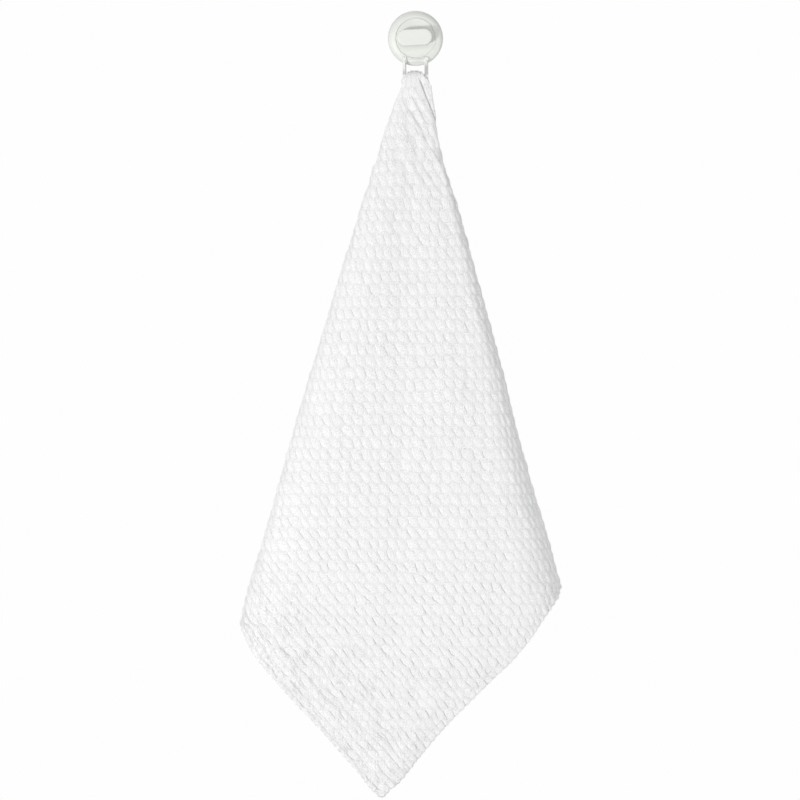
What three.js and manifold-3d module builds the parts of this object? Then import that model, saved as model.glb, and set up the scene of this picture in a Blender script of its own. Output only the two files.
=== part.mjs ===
// A square waffle-weave bath towel, hung by one corner over the bar of a twist-lock suction hook.
// Millimetres. +Z is up, +X is to the right and -Y is the room, seen by someone who faces the wall.
// The origin is the middle of the suction cup's flat back, so the wall is the plane y = 0.
import * as THREE from 'three';
import { mergeVertices } from 'three/addons/utils/BufferGeometryUtils.js';
import Module from 'manifold-3d';

const wasm = await Module();
wasm.setup();

// Driving dimensions of the suction hook
const GAP = 0.3;                  // running gap between touching pieces
const COVER_RADIUS = 35;          // outside of the round cover
const FACE_RADIUS = 25;           // flat face inside the cover's bright ring line
const FACE_Y = -10;               // the cover's flat face
const RIM_Y = -1;                 // the cover's rim, just off the wall
const CUP_RADIUS = 31;
const CUP_DEPTH = 3.6;
const DIAL_RADIUS = 24.2;         // the disc that turns with the knob
const DIAL_DEPTH = 1.4;
const KNOB_LENGTH = 44.5;
const KNOB_HEIGHT = 20.7;
const KNOB_DEPTH = 13.5;
const KNOB_TILT = 3;              // degrees, right end up
const KNOB_OFFSET = { x: -1.1, z: 1.3 };
const ARM_X = 13.9;               // middle of each arm
const ARM_WIDTH = 4.8;
const ARM_RADIUS = 2.8;           // half of an arm's depth, and its round lower end
const ARM_ROOT = { y: -8, z: -26.5 };
const BAR_RADIUS = 4;
const BAR = { y: -38, z: -49 };
const ROOT_PROUD = -9.2;          // front of the cross-piece that joins the arms in the cover's slot
const ROOT_BACK = -6;
const ROOT_TOP = -25.6;
const ROOT_BOTTOM = -31.6;
const ARM_TOP = -23.4;            // the arms' own tops reach a little above the cross-piece

// Driving dimensions of the towel
const CLOTH = 2.2;                // thickness of the weave
const HEM_THICK = 3.2;
const HEM_WIDTH = 11.5;
const BEND = BAR_RADIUS + 0.5 + HEM_THICK / 2;   // middle of the cloth round the bar
const TAIL = 14;                  // the turned-over corner behind the bar
const TAIL_LEAN = 4.6;            // how far that corner swings away from the bar
const TIP_Z = -965;               // the lowest corner
const TIP_HALF = 6;               // the lowest corner is blunt
const LEFT_FOLD_END = -744;       // height where the left side fold meets the hem
const RIGHT_FOLD_END = -697;
const CENTRE_TOP = -1;            // x of the cloth's diagonal at the bar and at the tip
const CENTRE_TIP = -36;

// Sections across the hanging cloth: the side folds, how far forward the front lies, how wide and
// how deep the front curves back into each fold, and where the flap behind each fold settles
const SECTIONS = table(
  ['z', 'foldL', 'foldR', 'front', 'wideL', 'backL', 'wideR', 'backR', 'flapL', 'flapR'], [
    [-49, -11.4, 11.6, -44.1, 4, 0, 4, 0, -35.6, -39.2],
    [-54, -15.6, 16.2, -44.6, 4, 0.3, 4, 0.2, -35.6, -39.2],
    [-62, -16.8, 18.8, -45.2, 6, 2.6, 4, 0.8, -35.6, -39.2],
    [-80, -24.4, 21.4, -46.4, 9, 5.5, 5, 1.6, -35.6, -39.6],
    [-110, -35.4, 25.6, -48.2, 14, 9.5, 6, 3, -35.2, -40.2],
    [-150, -47.4, 33, -50.5, 22, 15, 8, 5.5, -33.6, -40.4],
    [-200, -63.8, 48.4, -53, 32, 22, 10, 9, -31, -39.5],
    [-270, -85.8, 68, -55.5, 46, 30, 14, 15, -27, -37.5],
    [-345, -108.6, 88.6, -57.5, 58, 37, 20, 22, -24, -35.5],
    [-420, -131, 108.6, -59.5, 64, 41, 26, 28, -22, -34.5],
    [-500, -154.6, 128, -61, 66, 43, 33, 36, -21, -33.5],
    [-575, -175, 149.4, -63, 66, 44, 42, 44, -20, -33.5],
    [-650, -197.4, 171.5, -65, 66, 45, 50, 52, -20, -34],
    [-697, -211, 183.5, -66, 66, 45, 54, 57, -20, -35],
    [-744, -222, 193, -66, 66, 45, 56, 54, -20, -36],
    [-820, -240, 206, -64, 66, 40, 60, 44, -20, -36],
    [-900, -256, 217, -60, 66, 30, 62, 30, -20, -36],
    [-965, -268, 226, -56, 66, 22, 62, 22, -20, -36],
  ]);

// The two lower hems, from the side folds down to the tip
const HEM_LEFT = table(['z', 'x'], [
  [-744, -222], [-760, -216.5], [-775, -210], [-790, -200.5], [-819, -177], [-847, -151.8],
  [-877, -122.8], [-905, -98.6], [-933, -72.3], [-950, -58], [-965, -36 - 6],
]);
const HEM_RIGHT = table(['z', 'x'], [
  [-697, 183.5], [-708, 181.5], [-723, 173], [-741, 161], [-762, 147.5], [-791, 124],
  [-811, 102.7], [-834, 79.4], [-875, 38.5], [-914, 5], [-948, -22], [-965, -36 + 6],
]);

// How far the weave is pulled out down and across where it hangs, against lying flat
const STRETCH = table(['z', 'down', 'across'], [
  [-49, 1, 0.36], [-62, 1.08, 0.6], [-80, 1.14, 0.8], [-110, 1.16, 0.87], [-270, 1.16, 0.87],
  [-377, 1.128, 0.93], [-492, 1.095, 0.963], [-606, 1.057, 0.99], [-663, 1.038, 1],
  [-720, 1.015, 1], [-780, 0.985, 1], [-965, 0.985, 1],
]);
const ARCH_SQUEEZE = { left: 0.945, right: 0.76 };   // across the curved-back part of each side
const TURN_WIDE = 6;              // the tight turn of a side fold, measured inwards
const TURN_DEEP = 4.6;
const FLAP_EASE = 72;             // distance over which a flap settles to its own plane
const FOLD_LEAN = { left: 17, right: 14.5 };         // degrees of the side folds from upright

// Grid of the towel's solid
const FRONT_COLUMNS = 12;
const ARCH_COLUMNS = 4;           // of those, the ones in the curved-back part
const TURN_COLUMNS = 4;
const FLAP_COLUMNS = 7;
const ROW_STEP = 20.5;

function table(names, rows) {
  return { names, rows: rows.slice().sort((a, b) => b[0] - a[0]) };
}

// A smooth value from one column of a table, with no overshoot between its rows
function column(source, name, at) {
  const { names, rows } = source;
  const index = names.indexOf(name);
  const last = rows.length - 1;
  if (at >= rows[0][0]) return rows[0][index];
  if (at <= rows[last][0]) return rows[last][index];
  let i = 0;
  while (rows[i + 1][0] > at) i += 1;
  const slope = (k) => (rows[k + 1][index] - rows[k][index]) / (rows[k + 1][0] - rows[k][0]);
  const tangent = (k) => {
    if (k === 0) return slope(0);
    if (k === last) return slope(last - 1);
    const before = slope(k - 1);
    const after = slope(k);
    return before * after <= 0 ? 0 : (2 * before * after) / (before + after);
  };
  const width = rows[i + 1][0] - rows[i][0];
  const t = (at - rows[i][0]) / width;
  const h1 = t * t * (3 - 2 * t);
  return rows[i][index] * (1 - h1) + rows[i + 1][index] * h1
    + width * (tangent(i) * t * (1 - t) ** 2 - tangent(i + 1) * t * t * (1 - t));
}

function ease(from, to, value) {
  const t = Math.min(Math.max((value - from) / (to - from), 0), 1);
  return t * t * (3 - 2 * t);
}

function bell(distance, width) {
  return Math.exp(-((distance / width) ** 2));
}

// Lengths along the cloth's diagonal, from the turned-over corner to the tip
const OVER_BAR = TAIL + Math.PI * BEND;      // diagonal length behind and over the bar
const DIAGONAL = buildDiagonal();

function buildDiagonal() {
  const marks = [{ a: OVER_BAR, z: BAR.z }];
  for (let z = BAR.z - 1; z >= TIP_Z - 0.5; z -= 1) {
    const before = marks[marks.length - 1];
    marks.push({ a: before.a + (before.z - z) / column(STRETCH, 'down', z), z });
  }
  marks[marks.length - 1].z = TIP_Z;
  return marks;
}

const LENGTH = DIAGONAL[DIAGONAL.length - 1].a;

function heightAt(a) {
  let i = 0;
  while (i < DIAGONAL.length - 2 && DIAGONAL[i + 1].a < a) i += 1;
  const t = (a - DIAGONAL[i].a) / (DIAGONAL[i + 1].a - DIAGONAL[i].a);
  return DIAGONAL[i].z + t * (DIAGONAL[i + 1].z - DIAGONAL[i].z);
}

function diagonalAt(z) {
  let i = 0;
  while (i < DIAGONAL.length - 2 && DIAGONAL[i + 1].z > z) i += 1;
  const t = (z - DIAGONAL[i].z) / (DIAGONAL[i + 1].z - DIAGONAL[i].z);
  return DIAGONAL[i].a + t * (DIAGONAL[i + 1].a - DIAGONAL[i].a);
}

function halfWidth(a) {
  return Math.max(Math.min(a, LENGTH - a), TIP_HALF);
}

function centreX(z) {
  return CENTRE_TOP + (CENTRE_TIP - CENTRE_TOP) * Math.min((BAR.z - z) / (BAR.z - TIP_Z), 1);
}

// Soft creases of the front: depth added to it at one place
function creases(x, z) {
  const topCrease = 2.3 + 0.39 * (-47.6 - z);
  const topStep = 2.6 * ease(-0.5, 3, x - topCrease) * ease(-48, -56, z) * (1 - ease(-92, -122, z));
  const troughX = -10 - 0.026 * (-150 - z);
  const trough = 3.2 * bell(x - troughX, 15) * ease(-130, -240, z) * (1 - ease(-780, -900, z));
  const ridgeX = 22 + 0.085 * (-150 - z);
  const ridge = -3.4 * bell(x - ridgeX, 26) * ease(-130, -260, z) * (1 - ease(-700, -860, z));
  const alongHem = (x + 195) * 0.714 - (z + 746) * 0.7;
  const offHem = (x + 195) * 0.7 + (z + 746) * 0.714;
  const hemCrease = 3.4 * bell(offHem, 9) * ease(-20, 25, alongHem) * (1 - ease(150, 215, alongHem));
  const tipWave = 5 * bell(x - 20 - 0.5 * (z + 840), 26) * ease(-770, -850, z);
  return topStep + trough + ridge + hemCrease - tipWave;
}

// Half of one row of the weave, as closely spaced points from the diagonal out to the hem.
// Each point has its flat distance u from the diagonal, and its place.
function halfRow(a, side) {
  const sign = side === 'left' ? -1 : 1;
  const points = [];
  if (a <= OVER_BAR) {
    const bend = Math.min(Math.max((a - TAIL) / BEND, 0), Math.PI);
    const below = Math.max(TAIL - a, 0);
    const wide = 4.5 + 4.1 * ease(0, TAIL, a) + 2.9 * ease(0.62, 1, bend / Math.PI);
    for (let i = 0; i <= 8; i += 1) {
      points.push({
        u: (halfWidth(a) * i) / 8,
        x: CENTRE_TOP * (1 - ease(0, TAIL, a) * 0.2) + (sign * wide * i) / 8,
        y: BAR.y + BEND * Math.cos(bend) + TAIL_LEAN * (below / TAIL) ** 2,
        z: BAR.z + BEND * Math.sin(bend) - below,
      });
    }
    return { points, archAt: points[5].u, foldAt: points[8].u, turnAt: points[8].u };
  }

  const z = heightAt(a);
  const letter = side === 'left' ? 'L' : 'R';
  const fold = column(SECTIONS, `fold${letter}`, z);
  const wide = column(SECTIONS, `wide${letter}`, z);
  const back = column(SECTIONS, `back${letter}`, z);
  const front = column(SECTIONS, 'front', z);
  const across = column(STRETCH, 'across', z);
  const foldEnd = side === 'left' ? LEFT_FOLD_END : RIGHT_FOLD_END;
  const hem = side === 'left' ? HEM_LEFT : HEM_RIGHT;
  const edge = z < foldEnd ? column(hem, 'x', z) : fold;
  const centre = centreX(z);
  const reach = (edge - centre) * sign;
  const archStart = Math.max((fold - centre) * sign - wide, 0);
  const flat = Math.min(archStart, reach);

  const frontPoint = (x) => {
    const q = Math.min(Math.max(((x - centre) * sign - archStart) / wide, 0), 1);
    const sink = ease(1, 0.55, q);
    return front + back * (1 - Math.sqrt(1 - q * q)) + creases(x, z) * sink;
  };
  const add = (u, x, y, height) => points.push({ u, x, y, z: height });
  add(0, centre, frontPoint(centre), z);
  const grow = (x, y, height, squeeze) => {
    const last = points[points.length - 1];
    const step = Math.hypot(x - last.x, y - last.y, height - last.z);
    add(last.u + step / squeeze, x, y, height);
  };
  for (let i = 1; i <= 40; i += 1) {
    const x = centre + (sign * flat * i) / 40;
    grow(x, frontPoint(x), z, across);
  }
  const archAt = points[points.length - 1].u;
  const lastQ = Math.min((reach - archStart) / wide, 1);
  if (lastQ > 0) {
    const squeeze = ARCH_SQUEEZE[side] * across;
    for (let i = 1; i <= 40; i += 1) {
      const q = Math.sin((Math.asin(lastQ) * i) / 40);
      const x = centre + sign * (archStart + wide * q);
      grow(x, frontPoint(x), z, squeeze);
    }
  }
  const foldAt = points[points.length - 1].u;
  const full = halfWidth(a);

  // Below the fold's end the hem itself is the edge, and the row is eased to its exact flat width
  if (z <= foldEnd || full - foldAt < 2) {
    const scale = full / foldAt;
    points.forEach((point) => { point.u *= scale; });
    return { points, archAt: archAt * scale, foldAt: full, turnAt: full };
  }

  // The flap: the row turns in behind the front and runs inwards and down, mirrored by the fold
  const lean = THREE.MathUtils.degToRad(2 * FOLD_LEAN[side]);
  const apex = points[points.length - 1].y;
  const flapY = column(SECTIONS, `flap${letter}`, z);
  const turnDeep = Math.max(TURN_DEEP, back < 12 ? flapY - apex : 0);
  const turnWide = Math.min(TURN_WIDE, wide);
  const place = (inward, y) => {
    grow(fold - sign * inward * Math.cos(lean), y, z - inward * Math.sin(lean), across);
  };
  for (let i = 1; i <= 16; i += 1) {
    const angle = (Math.PI * i) / 32;
    place(turnWide * (1 - Math.cos(angle)), apex + turnDeep * Math.sin(angle));
  }
  const turnEnd = points[points.length - 1].u;
  const start = apex + turnDeep;
  let inward = turnWide;
  while (points[points.length - 1].u < full) {
    inward += 3;
    const settled = column(SECTIONS, `flap${letter}`, z - inward * Math.sin(lean));
    place(inward, start + (settled - start) * ease(turnWide, turnWide + FLAP_EASE, inward));
  }
  const rest = full - turnEnd < 2 ? full : turnEnd;
  return { points, archAt, foldAt, turnAt: rest };
}

function pointAt(points, u) {
  let i = 0;
  while (i < points.length - 2 && points[i + 1].u < u) i += 1;
  const t = Math.min((u - points[i].u) / (points[i + 1].u - points[i].u), 1);
  const mix = (key) => points[i][key] + t * (points[i + 1][key] - points[i][key]);
  return new THREE.Vector3(mix('x'), mix('y'), mix('z'));
}

// Flat distances of one half row's columns: the front, its curved-back part, the turn, the flap
function columnStations(row, full) {
  const stations = [];
  const spread = (from, to, count) => {
    for (let i = 1; i <= count; i += 1) stations.push(from + ((to - from) * i) / count);
  };
  const plain = FRONT_COLUMNS - ARCH_COLUMNS;
  const split = Math.min(row.archAt, (row.foldAt * plain) / FRONT_COLUMNS);
  spread(0, split, plain);
  spread(split, row.foldAt, ARCH_COLUMNS);
  spread(row.foldAt, row.turnAt, TURN_COLUMNS);
  const band = Math.min(HEM_WIDTH * Math.SQRT2, full - row.turnAt);
  spread(row.turnAt, full - band, FLAP_COLUMNS - 2);
  spread(full - band, full, 2);
  return stations;
}

function clothThickness(a, u) {
  const toHem = Math.min(a - u, LENGTH - a - u) / Math.SQRT2;
  return CLOTH + (HEM_THICK - CLOTH) * (1 - ease(HEM_WIDTH, HEM_WIDTH + 4, toHem));
}

function rowDistances() {
  const rows = [0, TAIL / 2, TAIL];
  for (let i = 1; i <= 8; i += 1) rows.push(TAIL + (Math.PI * BEND * i) / 8);
  const heights = [-53, -57.5, -62.5, -68, -74.5, -82, -91, -101, -113, -127];
  const stretch = (from, to) => {
    const count = Math.round((from - to) / ROW_STEP);
    for (let i = 1; i <= count; i += 1) heights.push(from + ((to - from) * i) / count);
  };
  stretch(-127, RIGHT_FOLD_END);
  stretch(RIGHT_FOLD_END, LEFT_FOLD_END);
  stretch(LEFT_FOLD_END, TIP_Z + 12);
  heights.push(TIP_Z);
  heights.forEach((z) => rows.push(diagonalAt(z)));
  return rows;
}

function towelGeometry() {
  const places = [];
  const thickness = [];
  const seen = new Map();
  const vertex = (place, thick) => {
    const key = place.toArray().map((value) => value.toFixed(3)).join(',');
    if (!seen.has(key)) {
      seen.set(key, places.length);
      places.push(place);
      thickness.push(thick);
    }
    return seen.get(key);
  };
  const grid = rowDistances().map((a) => {
    const full = halfWidth(a);
    const half = (side) => {
      const row = halfRow(a, side);
      return columnStations(row, full).map((u) => vertex(pointAt(row.points, u), clothThickness(a, u)));
    };
    const middle = vertex(pointAt(halfRow(a, 'left').points, 0), clothThickness(a, 0));
    return [...half('left').reverse(), middle, ...half('right')];
  });

  const faces = [];
  const face = (a, b, c) => {
    if (a !== b && b !== c && c !== a) faces.push([a, b, c]);
  };
  for (let i = 0; i < grid.length - 1; i += 1) {
    for (let j = 0; j < grid[i].length - 1; j += 1) {
      face(grid[i][j], grid[i + 1][j], grid[i + 1][j + 1]);
      face(grid[i][j], grid[i + 1][j + 1], grid[i][j + 1]);
    }
  }
  return thicken(places, thickness, faces);
}

// A closed solid from a sheet's middle surface: both faces, and a rim along every free edge
function thicken(places, thickness, faces) {
  const normals = places.map(() => new THREE.Vector3());
  const edges = new Map();
  for (const [a, b, c] of faces) {
    const ab = places[b].clone().sub(places[a]);
    const ac = places[c].clone().sub(places[a]);
    const normal = ab.cross(ac);
    for (const corner of [a, b, c]) normals[corner].add(normal);
    for (const [from, to] of [[a, b], [b, c], [c, a]]) edges.set(`${from},${to}`, [from, to]);
  }
  const positions = [];
  for (const half of [0.5, -0.5]) {
    places.forEach((place, i) => {
      const offset = normals[i].clone().normalize().multiplyScalar(thickness[i] * half);
      positions.push(...place.clone().add(offset).toArray());
    });
  }
  const count = places.length;
  const index = [];
  for (const [a, b, c] of faces) index.push(a, b, c, count + a, count + c, count + b);
  for (const [from, to] of edges.values()) {
    if (!edges.has(`${to},${from}`)) index.push(to, from, count + from, to, count + from, count + to);
  }
  const geometry = new THREE.BufferGeometry();
  geometry.setAttribute('position', new THREE.Float32BufferAttribute(positions, 3));
  geometry.setIndex(index);
  return geometry;
}

// Solids of the hook
function merged(geometry) {
  const plain = geometry.clone();
  plain.deleteAttribute('normal');
  plain.deleteAttribute('uv');
  return mergeVertices(plain, 1e-4);
}

function toSolid(geometry) {
  const plain = merged(geometry);
  const corners = plain.index.array;
  const kept = [];
  for (let i = 0; i < corners.length; i += 3) {
    const [a, b, c] = [corners[i], corners[i + 1], corners[i + 2]];
    if (a !== b && b !== c && c !== a) kept.push(a, b, c);
  }
  return new wasm.Manifold(new wasm.Mesh({
    numProp: 3,
    vertProperties: new Float32Array(plain.attributes.position.array),
    triVerts: new Uint32Array(kept),
  }));
}

function toGeometry(solid) {
  const mesh = solid.getMesh();
  const geometry = new THREE.BufferGeometry();
  geometry.setAttribute('position', new THREE.Float32BufferAttribute(mesh.vertProperties, 3));
  geometry.setIndex(Array.from(mesh.triVerts));
  return geometry;
}

// A turned shape about the hook's axis, from points of radius and y that start and end on the axis
function turned(profile, segments = 48) {
  const geometry = new THREE.LatheGeometry(profile.map(([r, y]) => new THREE.Vector2(r, y)), segments);
  return geometry;
}

function block(x0, x1, y0, y1, z0, z1) {
  const box = new THREE.BoxGeometry(x1 - x0, y1 - y0, z1 - z0);
  box.translate((x0 + x1) / 2, (y0 + y1) / 2, (z0 + z1) / 2);
  return box;
}

// The root of the bracket, or with a margin the pocket that it sits in
function rootSolid(margin) {
  const front = margin > 0 ? FACE_Y - 5 : ROOT_PROUD;
  const piece = (x0, x1, top) => toSolid(
    block(x0 - margin, x1 + margin, front, ROOT_BACK + margin, ROOT_BOTTOM - margin, top + margin));
  const inner = ARM_X - ARM_WIDTH / 2;
  const outer = ARM_X + ARM_WIDTH / 2;
  return piece(-outer, outer, ROOT_TOP)
    .add(piece(-outer, -inner, ARM_TOP))
    .add(piece(inner, outer, ARM_TOP));
}

function coverGeometry() {
  const profile = [[0, RIM_Y - CUP_DEPTH - GAP], [CUP_RADIUS + GAP, RIM_Y - CUP_DEPTH - GAP]];
  profile.push([CUP_RADIUS + GAP, RIM_Y], [COVER_RADIUS, RIM_Y]);
  for (let i = 1; i <= 8; i += 1) {
    const angle = (Math.PI * i) / 16;
    const radius = FACE_RADIUS + 0.8 + (COVER_RADIUS - FACE_RADIUS - 0.8) * Math.cos(angle);
    profile.push([radius, RIM_Y + (FACE_Y - RIM_Y) * Math.sin(angle)]);
  }
  profile.push([FACE_RADIUS, FACE_Y], [FACE_RADIUS, FACE_Y + 1.6], [0, FACE_Y + 1.6]);
  return toGeometry(toSolid(turned(profile.reverse())).subtract(rootSolid(GAP)));
}

function dialGeometry() {
  const back = FACE_Y + 1.6 - GAP;
  const face = back - DIAL_DEPTH;
  return turned([[0, face], [DIAL_RADIUS - 0.6, face], [DIAL_RADIUS, face + 0.5],
    [DIAL_RADIUS, back], [0, back]]);
}

function cupGeometry() {
  const back = RIM_Y - CUP_DEPTH;
  return turned([[0, back], [CUP_RADIUS - 6, back], [CUP_RADIUS, back + 1.8], [CUP_RADIUS, -0.6],
    [CUP_RADIUS - 0.6, 0], [0, 0]], 40);
}

function knobGeometry() {
  const round = KNOB_HEIGHT / 2;
  const bevel = 2;
  const run = KNOB_LENGTH / 2 - round;
  const outline = new THREE.Shape();
  outline.absarc(run, 0, round - bevel, -Math.PI / 2, Math.PI / 2, false);
  outline.absarc(-run, 0, round - bevel, Math.PI / 2, (3 * Math.PI) / 2, false);
  outline.closePath();
  const geometry = new THREE.ExtrudeGeometry(outline, {
    depth: KNOB_DEPTH - 2 * bevel, bevelThickness: bevel, bevelSize: bevel, bevelSegments: 3,
    curveSegments: 12,
  });
  geometry.translate(0, 0, bevel);
  geometry.rotateX(Math.PI / 2);
  return geometry;
}

// The arms' side outline: a slanting strip with a round lower end about the bar
function armGeometry(x) {
  const along = new THREE.Vector2(BAR.y - ARM_ROOT.y, BAR.z - ARM_ROOT.z).normalize();
  const angle = Math.atan2(along.y, along.x);
  const outline = new THREE.Shape();
  outline.absarc(BAR.y, BAR.z, ARM_RADIUS, angle - Math.PI / 2, angle + Math.PI / 2, false);
  outline.lineTo(ARM_ROOT.y - along.y * ARM_RADIUS, ARM_ROOT.z + along.x * ARM_RADIUS);
  outline.lineTo(ARM_ROOT.y + along.y * ARM_RADIUS, ARM_ROOT.z - along.x * ARM_RADIUS);
  outline.closePath();
  const geometry = new THREE.ExtrudeGeometry(outline, {
    depth: ARM_WIDTH, bevelEnabled: false, curveSegments: 8,
  });
  // The outline's own x and y are the hook's y and z, and its depth is the hook's x
  geometry.applyMatrix4(new THREE.Matrix4().makeBasis(
    new THREE.Vector3(0, 1, 0), new THREE.Vector3(0, 0, 1), new THREE.Vector3(1, 0, 0)));
  geometry.translate(x - ARM_WIDTH / 2, 0, 0);
  return geometry;
}

function bracketGeometry() {
  const bar = new THREE.CylinderGeometry(BAR_RADIUS, BAR_RADIUS, 2 * ARM_X - ARM_WIDTH + 1, 28);
  bar.rotateZ(Math.PI / 2);
  bar.translate(0, BAR.y, BAR.z);
  return toGeometry([armGeometry(-ARM_X), armGeometry(ARM_X), bar]
    .reduce((whole, piece) => whole.add(toSolid(piece)), rootSolid(0)));
}

// Materials
const white = (color, roughness) => new THREE.MeshStandardMaterial({ color, roughness, metalness: 0 });
const MATERIALS = {
  plastic: () => white(0xe9ece8, 0.42),
  rubber: () => white(0xdfe2df, 0.7),
  weave: () => white(0xf3f3f0, 0.95),
};

// Assembly
const group = new THREE.Group();

function add(name, geometry, material) {
  const mesh = new THREE.Mesh(geometry, material);
  mesh.name = name;
  group.add(mesh);
  return mesh;
}

add('suction_cup', merged(cupGeometry()), MATERIALS.rubber());
add('hook_cover', coverGeometry(), MATERIALS.plastic());
add('turn_dial', merged(dialGeometry()), MATERIALS.plastic());
const knob = add('twist_knob', merged(knobGeometry()), MATERIALS.plastic());
knob.position.set(KNOB_OFFSET.x, FACE_Y + 1.6 - GAP - DIAL_DEPTH - GAP, KNOB_OFFSET.z);
knob.rotation.y = -THREE.MathUtils.degToRad(KNOB_TILT);
add('towel_bracket', bracketGeometry(), MATERIALS.plastic());
add('bath_towel', towelGeometry(), MATERIALS.weave());

export default group;
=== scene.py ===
import math

import bmesh
import bpy
import numpy as np
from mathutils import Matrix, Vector


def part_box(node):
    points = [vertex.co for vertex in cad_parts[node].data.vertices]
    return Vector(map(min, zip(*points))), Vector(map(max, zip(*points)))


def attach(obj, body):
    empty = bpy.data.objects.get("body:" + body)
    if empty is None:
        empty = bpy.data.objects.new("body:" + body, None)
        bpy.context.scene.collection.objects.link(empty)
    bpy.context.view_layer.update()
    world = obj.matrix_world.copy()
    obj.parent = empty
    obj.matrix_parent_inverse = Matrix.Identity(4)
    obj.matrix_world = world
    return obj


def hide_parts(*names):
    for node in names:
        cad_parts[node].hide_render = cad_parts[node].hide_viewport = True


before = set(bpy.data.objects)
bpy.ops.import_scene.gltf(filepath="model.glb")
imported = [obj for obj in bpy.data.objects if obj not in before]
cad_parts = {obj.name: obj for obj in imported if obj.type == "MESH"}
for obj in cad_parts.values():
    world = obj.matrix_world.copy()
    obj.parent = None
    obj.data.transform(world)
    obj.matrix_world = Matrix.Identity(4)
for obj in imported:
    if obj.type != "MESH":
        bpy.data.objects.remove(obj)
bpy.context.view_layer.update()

# Studio: a long lens straight in front of the towel, as the photograph was taken, a pale floor well
# below the lowest corner, and soft light that comes mostly from the left and a little from below.
VIEW_X = -0.0197
VIEW_Z = -0.460
VIEW_WIDTH = 1.016                # metres that the picture covers at the front of the cloth
LENS = 1000.0                     # long, so that the hook shows in its true place above the cloth
SENSOR = 36.0
FAR_CLIP = 60.0
CLOTH_FRONT_Y = -0.045
FLOOR_Z = -1.3
FLOOR_RADIUS = 1.6
PAPER = (0.99, 0.99, 0.99, 1.0)   # what the camera sees behind everything
SKY_STRENGTH = 0.42


def aim(obj, target):
    direction = Vector(target) - obj.location
    obj.rotation_euler = direction.to_track_quat("-Z", "Y").to_euler()


def link(obj):
    bpy.context.scene.collection.objects.link(obj)
    return obj


lens = bpy.data.cameras.new("camera")
lens.lens = LENS
lens.sensor_width = SENSOR
lens.clip_end = FAR_CLIP
camera = link(bpy.data.objects.new("camera", lens))
camera.location = (VIEW_X, CLOTH_FRONT_Y - VIEW_WIDTH * LENS / SENSOR, VIEW_Z)
camera.rotation_euler = (math.pi / 2, 0, 0)
bpy.context.scene.camera = camera
bpy.context.scene.view_settings.view_transform = "Standard"

# Each lamp's place, the width of its disc and its power. The key is small and low on the left, so
# that each puff shades its right side, and the wide fills keep the shaded sides light.
LAMPS = (
    ("key_light", (-1.7, -2.4, -0.8), 0.5, 45.0),
    ("front_fill", (-0.1, -3.0, 0.9), 2.0, 26.0),
    ("left_fill", (-2.6, 0.2, -0.5), 1.2, 8.0),
    ("right_fill", (1.9, -0.4, -1.0), 1.0, 12.5),
    ("back_fill", (0.1, 1.6, 2.2), 2.4, 20.0))
for name, place, size, power in LAMPS:
    light = bpy.data.lights.new(name, "AREA")
    light.shape = "DISK"
    light.size = size
    light.energy = power
    lamp = link(bpy.data.objects.new(name, light))
    lamp.location = place
    aim(lamp, (VIEW_X, CLOTH_FRONT_Y + 0.005, VIEW_Z))

world = bpy.data.worlds.new("studio")
bpy.context.scene.world = world
world.use_nodes = True
nodes = world.node_tree.nodes
links = world.node_tree.links
sky = nodes["Background"]
sky.inputs["Color"].default_value = (1.0, 1.0, 1.0, 1.0)
sky.inputs["Strength"].default_value = SKY_STRENGTH
paper = nodes.new("ShaderNodeBackground")
paper.inputs["Color"].default_value = PAPER
seen = nodes.new("ShaderNodeLightPath")
mixed = nodes.new("ShaderNodeMixShader")
links.new(seen.outputs["Is Camera Ray"], mixed.inputs["Fac"])
links.new(sky.outputs[0], mixed.inputs[1])
links.new(paper.outputs[0], mixed.inputs[2])
links.new(mixed.outputs[0], nodes["World Output"].inputs["Surface"])

bpy.ops.mesh.primitive_circle_add(
    vertices=96, radius=FLOOR_RADIUS, fill_type="NGON", location=(0, 0, FLOOR_Z))
floor = bpy.context.active_object
floor.name = "floor"


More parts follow.
